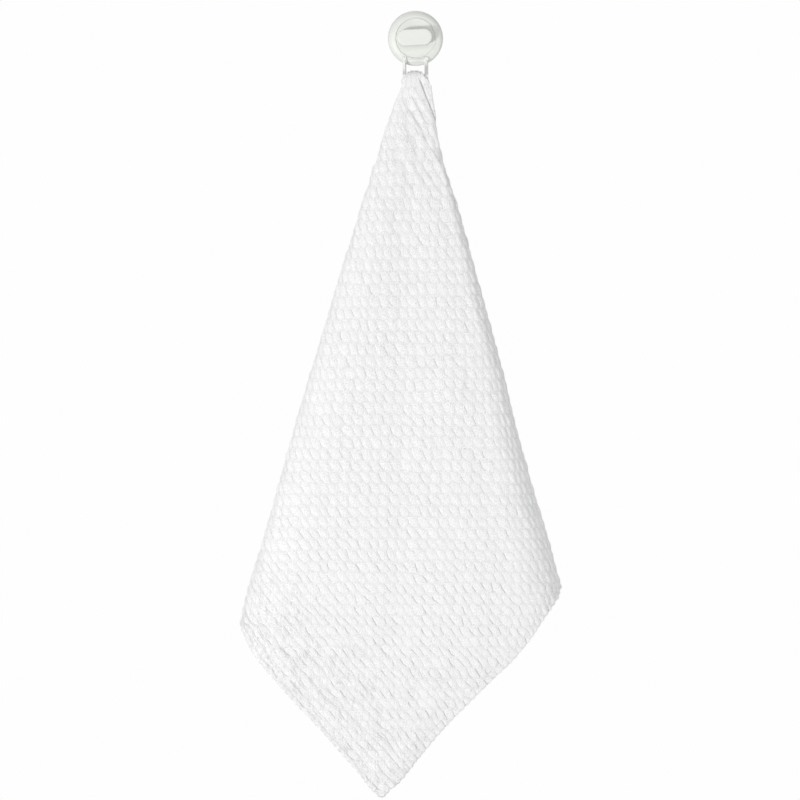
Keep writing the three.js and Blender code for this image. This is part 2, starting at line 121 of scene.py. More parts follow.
class Shade:
    """One socket of a material. Operators on it add Math nodes, and make() adds any other node."""

    def __init__(self, tree, socket=None):
        self.tree = tree
        self.socket = socket

    def make(self, kind, settings=(), inputs=(), output=0):
        node = self.tree.nodes.new(kind)
        for name, value in dict(settings).items():
            setattr(node, name, value)
        for key, value in dict(inputs).items():
            if isinstance(value, Shade):
                self.tree.links.new(value.socket, node.inputs[key])
            else:
                node.inputs[key].default_value = value
        return Shade(self.tree, node.outputs[output])

    def math(self, operation, *values):
        return self.make("ShaderNodeMath", {"operation": operation}, dict(enumerate(values)))

    def __add__(self, other):
        return self.math("ADD", self, other)

    __radd__ = __add__

    def __mul__(self, other):
        return self.math("MULTIPLY", self, other)

    __rmul__ = __mul__

    def __sub__(self, other):
        return self.math("SUBTRACT", self, other)

    def __rsub__(self, other):
        return self.math("SUBTRACT", other, self)

    def __abs__(self):
        return self.math("ABSOLUTE", self)

    def __pow__(self, other):
        return self.math("POWER", self, other)

    def cosine(self):
        return self.math("COSINE", self)

    def wrapped(self):
        """How far this value is from the nearest whole number."""
        return self - self.math("ROUND", self)

    def band(self, low, high):
        """0 below low and 1 above high, smoothly."""
        return self.make("ShaderNodeMapRange", {"interpolation_type": "SMOOTHSTEP"},
                         {"Value": self, "From Min": low, "From Max": high})

    def between(self, first, second):
        """A colour between two colours, by this value."""
        return self.make("ShaderNodeMix", {"data_type": "RGBA"}, {0: self, 6: first, 7: second}, 2)

    def noise(self, scale, detail=2.0, seed=0.0):
        """Soft noise over this vector."""
        return self.make("ShaderNodeTexNoise", {"noise_dimensions": "4D"},
                         {"Vector": self, "W": seed, "Scale": scale, "Detail": detail})

    def bump(self, strength, distance):
        """The surface's normal, tilted by this height."""
        return self.make("ShaderNodeBump", inputs={
            "Height": self, "Strength": strength, "Distance": distance})

    def place(self):
        """Where a point lies on the object, in metres."""
        return self.make("ShaderNodeTexCoord", output=3)


def start_material(name, roughness, constants=()):
    """A new material, a Shade to build on, and its shader node with the constants set."""
    material = bpy.data.materials.new(name)
    material.use_nodes = True
    tree = material.node_tree
    shader = tree.nodes["Principled BSDF"]
    shader.inputs["Roughness"].default_value = roughness
    for socket, value in dict(constants).items():
        shader.inputs[socket].default_value = value
    return material, Shade(tree), shader


def drive(shader, socket, value):
    value.tree.links.new(value.socket, shader.inputs[socket])


floor_paint, shade, shader = start_material("pale_floor", 0.8)
clouds = shade.place().noise(2.0)
drive(shader, "Base Color", clouds.between((0.80, 0.80, 0.79, 1), (0.84, 0.84, 0.83, 1)))
floor.data.materials.append(floor_paint)


# Suction cup: one soft white moulded disc behind the round cover, which holds by its flat back.
# It has a thin rounded lip and two shallow rings on its back, where it grips.
MM = 0.001
CUP_FACE = -4.6                   # front of the cup, inside the cover
CUP_EDGE = 31.0
CUP_LIP = 0.55                    # radius of its rounded lip
GRIP_RINGS = (26.0, 20.0)         # radii of the rings on its back
GRIP_HALF = 0.4
GRIP_DEEP = 0.35
TURNS = 144                       # faces round a turned piece
CRISP = math.radians(38.0)        # edges that turn more than this stay sharp


def arc(centre, radius, start, stop, count):
    """Points of an arc in a turned piece's profile, from one angle to another in degrees."""
    angles = np.radians(np.linspace(start, stop, count))
    return [(centre[0] + radius * math.cos(t), centre[1] + radius * math.sin(t)) for t in angles]


def closed_mesh(name, points, faces):
    """A mesh from millimetres, its faces pointing outwards and shaded smooth."""
    shell = bmesh.new()
    corners = [shell.verts.new(Vector(point) * MM) for point in points]
    for face in faces:
        shell.faces.new([corners[i] for i in face])
    bmesh.ops.recalc_face_normals(shell, faces=shell.faces)
    mesh = bpy.data.meshes.new(name)
    shell.to_mesh(mesh)
    shell.free()
    mesh.polygons.foreach_set("use_smooth", [True] * len(mesh.polygons))
    mesh.set_sharp_from_angle(angle=CRISP)
    return link(bpy.data.objects.new(name, mesh))


def turned(name, profile):
    """A closed body turned about the hook's axis, from (radius, depth) points that start and end on it."""
    points = []
    rings = []
    for radius, depth in profile:
        count = 1 if radius == 0 else TURNS
        rings.append(list(range(len(points), len(points) + count)))
        for i in range(count):
            angle = 2 * math.pi * i / TURNS
            points.append((radius * math.cos(angle), depth, radius * math.sin(angle)))
    faces = []
    for first, second in zip(rings, rings[1:]):
        for i in range(TURNS):
            j = (i + 1) % TURNS
            if len(first) == 1:
                faces.append((first[0], second[i], second[j]))
            elif len(second) == 1:
                faces.append((first[j], first[i], second[0]))
            else:
                faces.append((first[i], second[i], second[j], first[j]))
    return closed_mesh(name, points, faces)


def finished(piece, material, slot, *nodes):
    """Gives a piece its material and hides the CAD nodes that it stands for; its slot is not used."""
    piece.data.materials.clear()
    piece.data.materials.append(material)
    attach(piece, "root")
    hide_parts(*nodes)


def settle(piece):
    """Turns a piece with modifiers into a plain mesh."""
    bpy.context.view_layer.update()
    plain = bpy.data.meshes.new_from_object(piece.evaluated_get(bpy.context.evaluated_depsgraph_get()))
    piece.modifiers.clear()
    piece.data = plain
    plain.polygons.foreach_set("use_smooth", [True] * len(plain.polygons))
    plain.set_sharp_from_angle(angle=CRISP)


rubber, shade, shader = start_material("cup_rubber", 0.6)
bloom = shade.place().noise(60.0, 3.0)
drive(shader, "Base Color", bloom.between((0.72, 0.73, 0.715, 1), (0.77, 0.78, 0.765, 1)))
drive(shader, "Normal", shade.place().noise(900.0, 2.0).bump(0.15, 0.0002))
cup_profile = [(0, CUP_FACE), (16, CUP_FACE), (25, CUP_FACE + 0.2), (28.5, CUP_FACE + 1.0),
               (30.4, CUP_FACE + 2.3)]
cup_profile += arc((CUP_EDGE - CUP_LIP, -0.85), CUP_LIP, -20, 60, 6)
cup_profile += [(29.8, -0.05), (28, 0)]
for radius in GRIP_RINGS:
    cup_profile += [(radius + GRIP_HALF, 0), (radius, -GRIP_DEEP), (radius - GRIP_HALF, 0)]
cup_profile += [(0, 0)]
finished(turned("cup_disc", cup_profile), rubber, "cup_rubber", "suction_cup")


# Hook cover: one round shell moulded in satin off-white plastic, with a convex skirt, a thin bright
# ring proud of it, a recess inside the ring for the dial, and a slot that takes the bracket's root.
RIM_Y = -1.0
FACE_Y = -10.0
COVER_EDGE = 35.0
EDGE_ROUND = 0.5                  # radius of the cover's rim
SKIRT_TOP = 25.8                  # radius where the skirt meets the ring
SKIRT_ROWS = 26
RECESS_Y = -8.4
RECESS_ROUND = 0.4
RING = 25.0                       # inside of the ring
BEAD = 0.6                        # radius of the ring's round top
HOLLOW_EDGE = 31.3                # the hollow behind, for the cup
HOLLOW_Y = -4.9
SLOT_FRONT = -20.0                # the slot is cut from well in front of the cover
SLOT_BACK = -5.7
SLOTS = (                         # left and right, low and high: behind the plate, and round each arm
    ("plate", -12.2, 12.2, -30.4, -26.6),
    ("left_arm", -16.4, -11.4, -31.75, -23.85),
    ("right_arm", 11.4, 16.4, -31.75, -23.85))


def skirt_depth(radius):
    """Where the skirt's surface lies at a radius."""
    part = np.clip((radius - SKIRT_TOP) / (COVER_EDGE - SKIRT_TOP), 0, 1)
    return RIM_Y + (FACE_Y - RIM_Y) * np.sqrt(1 - part * part)


def block(low, high):
    """The corners and faces of a straight block."""
    points = [(x, y, z) for x in (low[0], high[0]) for y in (low[1], high[1]) for z in (low[2], high[2])]
    return points, [(0, 1, 3, 2), (4, 6, 7, 5), (0, 4, 5, 1), (2, 3, 7, 6), (0, 2, 6, 4), (1, 5, 7, 3)]


def satin_plastic(name, darker, lighter):
    """Moulded plastic with a fine satin grain, cloudy between two colours."""
    material, shade, shader = start_material(name, 0.42, {"Specular IOR Level": 0.45})
    place = shade.place()
    cloud = place.noise(30.0, 3.0)
    grit = place.noise(1400.0, 2.0, 3.0)
    drive(shader, "Base Color", cloud.between(darker, lighter))
    drive(shader, "Roughness", 0.34 + 0.16 * grit)
    drive(shader, "Normal", (grit + 0.4 * cloud).bump(0.12, 0.0002))
    return material


plastic = satin_plastic("hook_plastic", (0.715, 0.732, 0.695, 1), (0.745, 0.758, 0.72, 1))

cover_profile = [(0, RECESS_Y), (RING - 0.5, RECESS_Y)]
cover_profile += arc((RING - RECESS_ROUND, RECESS_Y - RECESS_ROUND), RECESS_ROUND, 90, 0, 4)
cover_profile += arc((RING + BEAD, FACE_Y - BEAD), BEAD, 180, 360, 9)
cover_profile += [(RING + 1.25, FACE_Y + 0.03)]
inwards = (1 - np.linspace(0, 1, SKIRT_ROWS)) ** 2      # rows stand closer towards the steep edge
for radius in COVER_EDGE - (COVER_EDGE - SKIRT_TOP - 0.7) * inwards - 0.12:
    cover_profile.append((float(radius), float(skirt_depth(radius))))
cover_profile += arc((COVER_EDGE - EDGE_ROUND, RIM_Y - EDGE_ROUND), EDGE_ROUND, 0, 90, 5)
cover_profile += [(HOLLOW_EDGE + 0.5, RIM_Y), (HOLLOW_EDGE, RIM_Y - 0.4), (HOLLOW_EDGE, HOLLOW_Y),
                  (0, HOLLOW_Y)]
cover = turned("round_cover", cover_profile)
for name, left, right, low, high in SLOTS:
    cutter = closed_mesh(f"slot_{name}", *block((left, SLOT_FRONT, low), (right, SLOT_BACK, high)))
    cut = cover.modifiers.new("slot", "BOOLEAN")
    cut.operation = "DIFFERENCE"
    cut.solver = "EXACT"
    cut.object = cutter
    settle(cover)
    bpy.data.objects.remove(cutter)

# The slot's lips are rounded a little
round_off = cover.modifiers.new("edges", "BEVEL")
round_off.width = 0.12 * MM
round_off.segments = 2
round_off.limit_method = "ANGLE"
round_off.angle_limit = math.radians(50)
settle(cover)
finished(cover, plastic, "hook_plastic", "hook_cover")


# Dial and knob: the flat disc inside the ring turns with the long rounded knob that stands across
# it. Both are moulded in the cover's plastic, and they are shown at the locked position.
DIAL_EDGE = 24.93
DIAL_FACE = -10.1
DIAL_BACK = -8.7
DIAL_ROUND = 0.25                 # radius of the dial's front edge
KNOB_RUN = 11.9                   # from the knob's middle to the centre of each round end
KNOB_ROUND = 10.35
KNOB_TILT = math.radians(3.0)
KNOB_X, KNOB_Z = -1.1, 1.3
KNOB_END = 28                     # faces round each end of the knob
KNOB_EDGE = 1.4                   # radius of the knob's front edge

dial_profile = [(0, DIAL_FACE + 0.25), (19.5, DIAL_FACE + 0.1), (23.2, DIAL_FACE)]
dial_profile += arc((DIAL_EDGE - DIAL_ROUND, DIAL_FACE + DIAL_ROUND), DIAL_ROUND, 270, 360, 6)
dial_profile += [(DIAL_EDGE, DIAL_BACK - 0.2), (DIAL_EDGE - 0.2, DIAL_BACK), (0, DIAL_BACK)]
finished(turned("dial_disc", dial_profile), plastic, "hook_plastic", "turn_dial")

knob_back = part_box("twist_knob")[1][1] / MM
knob_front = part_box("twist_knob")[0][1] / MM
depth = knob_back - knob_front

# Each row of the knob is the same long outline: how far it is drawn in, and how far out it stands
knob_rows = [(0.9, 0.0), (0.35, 0.35), (0.1, 1.2), (0.0, 3.0), (0.05, depth - 3.2)]
knob_rows += [(1.45 - x, depth - 1.75 + y) for x, y in arc((0, 0), KNOB_EDGE, 0, 84, 8)]
knob_rows += [(2.0, depth - 0.28), (3.2, depth - 0.10), (4.6, depth - 0.06), (6.2, depth - 0.16)]
knob_points = []
for inset, out in knob_rows:
    for half, centre_x in ((0, KNOB_RUN), (1, -KNOB_RUN)):
        for i in range(KNOB_END + 1):
            angle = -math.pi / 2 + math.pi * (half + i / KNOB_END)
            x = centre_x + (KNOB_ROUND - inset) * math.cos(angle)
            z = (KNOB_ROUND - inset) * math.sin(angle)
            knob_points.append((KNOB_X + x * math.cos(KNOB_TILT) - z * math.sin(KNOB_TILT),
                                knob_back - out,
                                KNOB_Z + x * math.sin(KNOB_TILT) + z * math.cos(KNOB_TILT)))
loop = 2 * (KNOB_END + 1)
knob_faces = [tuple(range(loop)), tuple(range(len(knob_points) - loop, len(knob_points)))]
for row in range(len(knob_rows) - 1):
    for i in range(loop):
        j = (i + 1) % loop
        knob_faces.append((row * loop + i, row * loop + j, (row + 1) * loop + j, (row + 1) * loop + i))
finished(closed_mesh("knob_grip", knob_points, knob_faces), plastic, "hook_plastic", "twist_knob")


# Bracket: one moulding, two arms that reach forward and down from the cover's slot, the bar that
# joins them and carries the cloth, and the plate between their roots. Its plastic is painted lighter
# than the cover's, a painted highlight for the light that the arms catch.
ARM_X = 13.9
ARM_WIDE = 4.8
ARM_HALF_DEEP = 2.8
ARM_CHAMFER = 1.6                 # the right flank of each arm slopes in towards its front
ARM_TURN = 2.2                    # and its front turns a little to the left
BAR_Y, BAR_Z = -38.0, -49.0
BAR_RADIUS = 3.1
BOSS_RADIUS = 4.0
ARM_KNOTS = np.array([            # (y, z) down along the cover, then forward to the bar
    (-7.5, -26.5), (-11.2, -30.5), (-13.2, -36.0), (-16.5, -42.0), (-23.5, -46.6), (-31.0, -48.6),
    (BAR_Y, BAR_Z)])
ARM_POINTS = 41
ROOT_FRONT, ROOT_BACK = -11.8, -6.0
ROOT_LOW, ROOT_HIGH = -31.6, -24.0
PLATE_HALF = 12.1
PLATE_LOW, PLATE_HIGH = -30.3, -26.7


def prism(outline, x0, x1, narrower=0.0, turned_back=0.0):
    """A closed block between x0 and x1 whose side outline is in (y, z), its front half first.
    Its front may be narrower on the right, and turned back on the left."""
    count = len(outline)
    in_front = [i < count // 2 for i in range(count)]
    points = [(x0, y + turned_back * front, z) for (y, z), front in zip(outline, in_front)]
    points += [(x1 - narrower * front, y, z) for (y, z), front in zip(outline, in_front)]
    faces = [tuple(range(count)), tuple(range(2 * count - 1, count - 1, -1))]
    faces += [(i, i + count, (i + 1) % count + count, (i + 1) % count) for i in range(count)]
    return points, faces


# A smooth line through the knots, and the arm's side outline half its depth to either side of it
pull = np.gradient(ARM_KNOTS, axis=0)
at = np.linspace(0, len(ARM_KNOTS) - 1, ARM_POINTS)
knot = np.minimum(at.astype(int), len(ARM_KNOTS) - 2)
t = (at - knot)[:, None]
arm_line = (ARM_KNOTS[knot] * (1 - t) ** 2 * (1 + 2 * t) + ARM_KNOTS[knot + 1] * t ** 2 * (3 - 2 * t)
            + pull[knot] * t * (1 - t) ** 2 - pull[knot + 1] * t ** 2 * (1 - t))
heading = np.gradient(arm_line, axis=0)
heading /= np.linalg.norm(heading, axis=1, keepdims=True)
aside = np.stack((heading[:, 1], -heading[:, 0]), 1) * ARM_HALF_DEEP
arm_outline = [tuple(point) for point in np.concatenate((arm_line + aside, (arm_line - aside)[::-1]))]
parts = []
for side in (-1, 1):
    x0 = side * ARM_X - ARM_WIDE / 2
    x1 = side * ARM_X + ARM_WIDE / 2
    parts.append(prism(arm_outline, x0, x1, ARM_CHAMFER, ARM_TURN))
    parts.append(prism(arc((BAR_Y, BAR_Z), BOSS_RADIUS, 0, 345, 24), x0, x1))
    parts.append(block((x0, ROOT_FRONT, ROOT_LOW), (x1, ROOT_BACK, ROOT_HIGH)))
parts.append(prism(arc((BAR_Y, BAR_Z), BAR_RADIUS, 0, 345, 24), -ARM_X, ARM_X))

# The plate's front follows the cover's skirt
across = np.linspace(-PLATE_HALF, PLATE_HALF, 33)
down = np.linspace(PLATE_HIGH, PLATE_LOW, 9)
plate = [(x, float(skirt_depth(math.hypot(x, z))), z) for z in down for x in across]
plate += [(x, ROOT_BACK, z) for z in down for x in across]
columns, rows = len(across), len(down)
plate_faces = []
for layer in (0, columns * rows):
    for r in range(rows - 1):
        for c in range(columns - 1):
            i = layer + r * columns + c
            plate_faces.append((i, i + 1, i + columns + 1, i + columns))
border = list(range(columns)) + [r * columns + columns - 1 for r in range(1, rows)]
border += [(rows - 1) * columns + c for c in range(columns - 2, -1, -1)]
border += [r * columns for r in range(rows - 2, 0, -1)]
for first, second in zip(border, border[1:] + border[:1]):
    plate_faces.append((first, second, second + columns * rows, first + columns * rows))
parts.append((plate, plate_faces))

# The parts are fused into one moulding, and its edges are softened
points = []
faces = []
for part_points, part_faces in parts:
    faces += [tuple(i + len(points) for i in face) for face in part_faces]
    points += part_points
bracket = closed_mesh("hook_bracket", points, faces)
fused = bracket.modifiers.new("fused", "REMESH")
fused.mode = "VOXEL"
fused.voxel_size = 0.26 * MM
rounded = bracket.modifiers.new("rounded", "SMOOTH")
rounded.factor = 0.5
rounded.iterations = 4
settle(bracket)
# Painted highlight: the bracket's colours are set lighter than the cover's, for the light on the arms
lit_bracket_plastic = satin_plastic("lit_bracket_plastic", (0.78, 0.795, 0.77, 1), (0.81, 0.822, 0.80, 1))
finished(bracket, lit_bracket_plastic, "hook_plastic", "towel_bracket")


# Towel: one square of white waffle weave with a turned and stitched hem. It hangs by a corner that
# is turned over the hook's bar, and its two side corners are folded back behind the front.
# Sizes here are in millimetres, as a weaver would give them, and the mesh is scaled at the end.
CLOTH = 2.0
HEM_THICK = 3.2
HEM_WIDTH = 11.5
STITCH_INSET = HEM_WIDTH - 1.6    # from the edge to the line of stitches
CHECKS = 66                       # puffs and pits along one side of the square
CUTS = 4                          # mesh steps along one check
BEND = 6.1                        # middle of the cloth round the bar, before and behind it
BEND_LOW, BEND_HIGH = 4.3, 6.5    # and over its top, at the cloth's sides and in its bunched middle
CROWN_HALF = 3.6                  # half width of the bunched cloth at the turned-over corner
CROWN_BEHIND = 2.0                # what it gains on its way up to the bar
CROWN_FRONT = 5.9                 # and what it gains over the bar
TAIL = 14.0                       # the turned-over corner hangs this far down behind the bar
TAIL_LEAN = 4.6                   # and swings away from it by this much
TIP_Z = -965.0
FOLD_END = {-1: -744.0, 1: -697.0}      # height where each side fold meets its hem
CENTRE_TOP, CENTRE_TIP = -1.0, -43.0    # the diagonal's place at the bar and at the tip
CENTRE_BOW = 0.85                 # the diagonal hangs in a slight bow
CROWDING = 1.09                   # puffs stand closer together across the cloth's lower part
ARCH_LAST = {-1: 0.94, 1: 0.888}  # crowding in the rounded sides where the side folds end
ARCH_SQUEEZE = {-1: 0.945, 1: 0.76}     # pull across in the rounded sides
TURN_WIDE, TURN_DEEP = 6.0, 4.6   # the tight turn of each side fold
FLAP_EASE = 72.0                  # distance over which a flap settles behind the front
FOLD_LEAN = {-1: math.radians(17.0), 1: math.radians(14.5)}

# Points along half a row: over the bar, across the flat front, round the side, in the fold's turn
CROWN_POINTS = 9
FLAT_POINTS = 41
ARCH_POINTS = 40
TURN_POINTS = 16
FLAP_STEP = 3.0                   # from point to point along a flap

# At each height: where the folds stand, the front's depth, how wide and how far back each rounded
# side is, and how deep each flap lies. The left side is -1 and the right side is 1.
SECTION_COLUMNS = (
    "z", "fold-1", "fold1", "front", "wide-1", "back-1", "wide1", "back1", "flap-1", "flap1")
SECTIONS = np.array([
    (-49, -11.4, 11.6, -44.1, 4, 0, 4, 0, -35.6, -39.2),
    (-54, -15.6, 16.2, -44.6, 4, 0.3, 4, 0.2, -35.6, -39.2),
    (-62, -16.8, 18.8, -45.2, 6, 2.6, 4, 0.8, -35.6, -39.2),
    (-80, -24.4, 21.4, -46.4, 9, 5.5, 5, 1.6, -35.6, -39.6),
    (-110, -35.4, 25.6, -48.2, 14, 9.5, 6, 3, -35.2, -40.2),
    (-150, -47.4, 33, -50.5, 22, 15, 8, 5.5, -33.6, -40.4),
    (-200, -63.8, 48.4, -53, 32, 22, 10, 9, -31, -39.5),
    (-270, -85.8, 68, -55.5, 46, 30, 14, 15, -27, -37.5),
    (-345, -108.6, 88.6, -57.5, 58, 37, 20, 22, -24, -35.5),
    (-420, -131, 108.6, -59.5, 64, 41, 26, 28, -22, -34.5),
    (-500, -154.6, 128, -61, 66, 43, 33, 36, -21, -33.5),
    (-575, -175, 149.4, -63, 66, 44, 42, 44, -20, -33.5),
    (-650, -197.4, 171.5, -65, 66, 45, 50, 52, -20, -34),
    (-697, -211, 183.5, -66, 66, 45, 54, 57, -20, -35),
    (-744, -222, 193, -66, 66, 45, 56, 54, -20, -36),
    (-820, -240, 206, -64, 66, 40, 60, 44, -20, -36),
    (-900, -256, 217, -60, 66, 30, 62, 30, -20, -36),
    (-965, -268, 226, -56, 66, 22, 62, 22, -20, -36)], float)
HEMS = {                                             # height and place of each lower hem
    -1: np.array([
        (-744, -222), (-760, -216.5), (-775, -210), (-790, -200.5), (-819, -177), (-847, -151.8),
        (-877, -122.8), (-905, -98.6), (-933, -73.5), (-950, -60.5), (-965, -47)], float),
    1: np.array([
        (-697, 183.5), (-708, 181.5), (-723, 173), (-741, 161), (-762, 147.5), (-791, 124),
        (-811, 102.7), (-834, 79.4), (-875, 38.5), (-914, 5), (-948, -22.5), (-954, -30.5),
        (-965, -38.5)], float)}
STRETCH = np.array([                                 # height, pull down, pull across
    (-49, 1, 0.36), (-62, 1.08, 0.6), (-80, 1.14, 0.8), (-110, 1.16, 0.87), (-270, 1.16, 0.87),
    (-377, 1.128, 0.93), (-492, 1.095, 0.963), (-606, 1.057, 0.99), (-663, 1.038, 1),
    (-720, 1.015, 1), (-780, 0.985, 1), (-965, 0.985, 1)], float)


def smooth_column(rows, index, at):
    """A smooth value from a table's column, with no overshoot between its rows."""
    x = -rows[:, 0]
    y = rows[:, index]
    at = np.clip(-np.asarray(at, float), x[0], x[-1])
    slope = np.diff(y) / np.diff(x)
    before, after = slope[:-1], slope[1:]
    total = np.where(before * after > 0, before + after, 1.0)
    inner = np.where(before * after > 0, 2 * before * after / total, 0.0)
    tangent = np.concatenate((slope[:1], inner, slope[-1:]))
    i = np.clip(np.searchsorted(x, at, side="right") - 1, 0, len(x) - 2)
    width = x[i + 1] - x[i]
    t = (at - x[i]) / width
    blend = t * t * (3 - 2 * t)
    return (y[i] * (1 - blend) + y[i + 1] * blend
            + width * (tangent[i] * t * (1 - t) ** 2 - tangent[i + 1] * t * t * (1 - t)))


def section(name, z):
    """One column of the sections, at a height."""
    return smooth_column(SECTIONS, SECTION_COLUMNS.index(name), z)


def ease(low, high, value):
    """0 below low and 1 above high, smoothly."""
    t = np.clip((np.asarray(value, float) - low) / (high - low), 0, 1)
    return t * t * (3 - 2 * t)


def bell(distance, width):
    """1 at no distance, fading to nothing past the width."""
    return np.exp(-(distance / width) ** 2)


# Lengths along the cloth's diagonal, from the turned-over corner to the lowest one
OVER_BAR = TAIL + math.pi * BEND
heights = np.arange(BAR_Z, TIP_Z - 0.5, -1.0)
steps = 1.0 / smooth_column(STRETCH, 1, heights[1:])
diagonal = OVER_BAR + np.concatenate(([0.0], np.cumsum(steps)))
LENGTH = diagonal[-1]
SIDE = LENGTH / math.sqrt(2)
PITCH = LENGTH / CHECKS           # from one puff to the next, level across the hanging cloth

# The deepest crease starts at the crown and slants down to the right side
CREASE_X, CREASE_Z = 2.0, -47.6
CREASE_SLOPE = 0.40

# A point near the left hem's upper end, the hem's run down to the tip, and the way into the cloth
HEM_END = (-195, -746)
HEM_RUN = (0.714, -0.7)
HEM_IN = (0.7, 0.714)

# Where small folds start below the hook, how they slant, over which heights, and how deep they are
SMALL_FOLDS = ((-9.4, -90.6, 0.66, 84, 128, 1.5), (-6.9, -71.0, 0.53, 68, 116, 1.6),
               (-17.0, -78.0, 0.40, 74, 108, 1.2), (-21.0, -112.0, 0.62, 108, 158, 1.2),
               (6.0, -118.0, 0.60, 112, 165, 1.3), (-30.0, -150.0, 0.62, 146, 196, 0.9),
               (8.0, -160.0, 0.62, 156, 205, 0.9))


def creases(x, z):
    """How far the main creases push the front back, or forward where negative."""
    top_crease = CREASE_X + CREASE_SLOPE * (CREASE_Z - z)
    at_crease = ease(49, 57, -z) * (1 - ease(105, 150, -z))
    top_step = (2.4 * ease(-0.8, 1.6, x - top_crease) + 1.8 * bell(x - top_crease - 0.6, 1.5)) * at_crease
    small_folds = 0
    for x0, z0, slope, first, last, deep in SMALL_FOLDS:
        off = x - x0 - slope * (z0 - z)
        along = ease(first, first + 9, -z) * (1 - ease(last - 14, last, -z))
        small_folds = small_folds + deep * ease(-1.3, 1.3, off) * np.exp(-np.maximum(off, 0) / 6) * along
    trough_x = -10 - 0.026 * (-150 - z)
    trough = 2.0 * bell(x - trough_x, 18) * ease(130, 240, -z) * (1 - ease(700, 860, -z))
    ridge_x = 22 + 0.085 * (-150 - z)
    ridge = -3.4 * bell(x - ridge_x, 26) * ease(130, 260, -z) * (1 - ease(700, 860, -z))
    along_hem = (x - HEM_END[0]) * HEM_RUN[0] + (z - HEM_END[1]) * HEM_RUN[1]
    off_hem = (x - HEM_END[0]) * HEM_IN[0] + (z - HEM_END[1]) * HEM_IN[1]
    hem_waves = 1.9 * bell(off_hem, 6) + 1.5 * bell(off_hem - 17, 6) + 1.3 * bell(off_hem - 36, 7)
    hem_crease = hem_waves * ease(-20, 40, along_hem) * (1 - ease(140, 230, along_hem))
    tip_wave = 5 * bell(x - 20 - 0.5 * (z + 840), 26) * ease(770, 850, -z)
    return top_step + small_folds + trough + ridge + hem_crease - tip_wave


def half_row(a, sign):
    """Half of one row of the weave: flat distances from the diagonal, and their places."""
    full = min(a, LENGTH - a)
    if a <= OVER_BAR:
        bend = min(max((a - TAIL) / BEND, 0), math.pi)
        below = max(TAIL - a, 0)
        in_front = max(math.sin(bend - math.pi / 2), 0)
        wide = CROWN_HALF + CROWN_BEHIND * ease(0, TAIL, a) + CROWN_FRONT * in_front
        part = np.linspace(0, 1, CROWN_POINTS)
        x = CENTRE_TOP * (1 - ease(0, TAIL, a) * 0.2) + sign * wide * part
        y = np.full(CROWN_POINTS, BAR_Y + BEND * math.cos(bend) + TAIL_LEAN * (below / TAIL) ** 2)
        over = BEND_LOW + (BEND_HIGH - BEND_LOW) * (1 - part * part)
        z = BAR_Z + over * math.sin(bend) - below
        return full * part, np.stack((x, y, z), 1)

    z = float(np.interp(a, diagonal, heights))
    fold, wide, back = (section(f"{name}{sign}", z) for name in ("fold", "wide", "back"))
    front = section("front", z)
    across = smooth_column(STRETCH, 2, z)
    edge = smooth_column(HEMS[sign], 1, z) if z < FOLD_END[sign] else fold
    down = min((BAR_Z - z) / (BAR_Z - TIP_Z), 1)
    centre = CENTRE_TOP + (CENTRE_TIP - CENTRE_TOP) * down ** CENTRE_BOW
    reach = (edge - centre) * sign
    arch_start = max((fold - centre) * sign - wide, 0)
    flat = min(arch_start, reach)
    last_q = min((reach - arch_start) / wide, 1)

    out = flat * np.linspace(0, 1, FLAT_POINTS)
    squeeze = np.full(FLAT_POINTS - 1, across)
    if last_q > 0:
        q = np.sin(math.asin(last_q) * np.linspace(0, 1, ARCH_POINTS + 1)[1:])
        out = np.concatenate((out, arch_start + wide * q))
        squeeze = np.concatenate((squeeze, np.full(ARCH_POINTS, across * ARCH_SQUEEZE[sign])))
    q = np.clip((out - arch_start) / wide, 0, 1)
    x = centre + sign * out
    y = front + back * (1 - np.sqrt(1 - q * q)) + creases(x, z) * ease(0, 0.45, 1 - q)
    points = np.stack((x, y, np.full(len(x), z)), 1)
    u = np.concatenate(([0], np.cumsum(np.linalg.norm(np.diff(points, axis=0), axis=1) / squeeze)))

    # The puffs crowd a little towards the bottom, in the flat part and in the rounded side
    crowd = 1 + (CROWDING - 1) * ease(500, 700, -z)
    flat_end = u[FLAT_POINTS - 1]
    on_arch = np.maximum(u - flat_end, 0)
    on_flat = np.minimum(u, flat_end)
    if z > FOLD_END[sign]:
        arch_crowd = 1 + (ARCH_LAST[sign] - 1) * ease(560, -FOLD_END[sign], -z)
        u = on_flat * crowd + on_arch * arch_crowd

    # Below the fold's end the hem itself is the edge, and the row is eased to its exact flat width
    if z <= FOLD_END[sign] or full - u[-1] < 0.5:
        arch_share = min(on_arch[-1] / 50, 1)
        even = full / (on_flat[-1] + on_arch[-1])
        crowd = crowd * arch_share + even * (1 - arch_share)
        rest = (full - on_flat[-1] * crowd) / max(on_arch[-1], 1e-6)
        return on_flat * crowd + on_arch * rest, points

    # The flap turns in behind the front and runs inwards and down, mirrored by the fold
    lean = 2 * FOLD_LEAN[sign]
    apex = points[-1, 1]
    turn_deep = max(TURN_DEEP, section(f"flap{sign}", z) - apex if back < 12 else 0)
    turn_wide = min(TURN_WIDE, wide)
    angle = np.linspace(0, math.pi / 2, TURN_POINTS + 1)[1:]
    run = turn_wide + np.arange(FLAP_STEP, full * 1.6 + 4 * FLAP_STEP, FLAP_STEP)
    settled = section(f"flap{sign}", z - run * math.sin(lean))
    start = apex + turn_deep
    easing = ease(turn_wide, turn_wide + FLAP_EASE, run)
    inward = np.concatenate((turn_wide * (1 - np.cos(angle)), run))
    depth = np.concatenate((apex + turn_deep * np.sin(angle), start + (settled - start) * easing))
    flap = np.stack((fold - sign * inward * math.cos(lean), depth, z - inward * math.sin(lean)), 1)
    gap = np.linalg.norm(np.diff(np.concatenate((points[-1:], flap)), axis=0), axis=1) / across
    return np.concatenate((u, u[-1] + np.cumsum(gap))), np.concatenate((points, flap))


